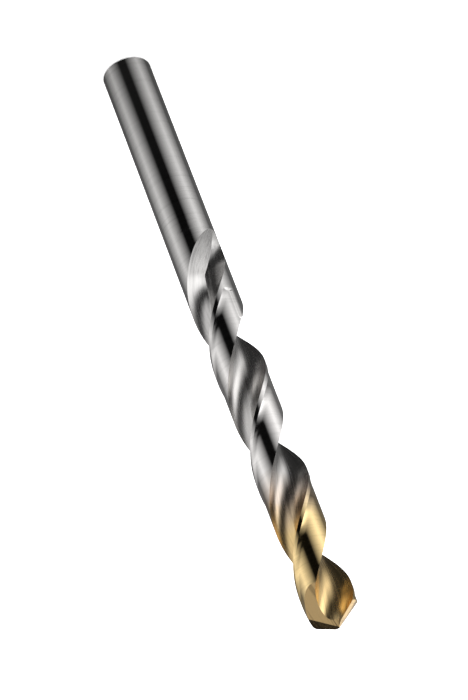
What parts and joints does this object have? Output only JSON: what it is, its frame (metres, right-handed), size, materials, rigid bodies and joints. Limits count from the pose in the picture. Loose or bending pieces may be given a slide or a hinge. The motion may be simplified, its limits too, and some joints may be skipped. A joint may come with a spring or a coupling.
{
  "type": "twist drill bit",
  "caption": "Straight-shank twist drill bit with right-hand helical flutes, narrow margins, ground-down lands and a coated split point.",
  "frame": {"origin": "centre of the shank's end face, on which the bit stands", "axes": "+Z along the bit's axis from the shank end to the point; the two cutting lips lie along X, and the corner on +X cuts towards +Y"},
  "size_m": [0.01, 0.01, 0.133],
  "materials": {
    "ground_steel": "ground satin steel, with a gold nitride-like coating on the last 25 mm towards the point"
  },
  "bodies": {
    "root": {"drill_bit": "ground_steel"}
  },
  "joints": []
}
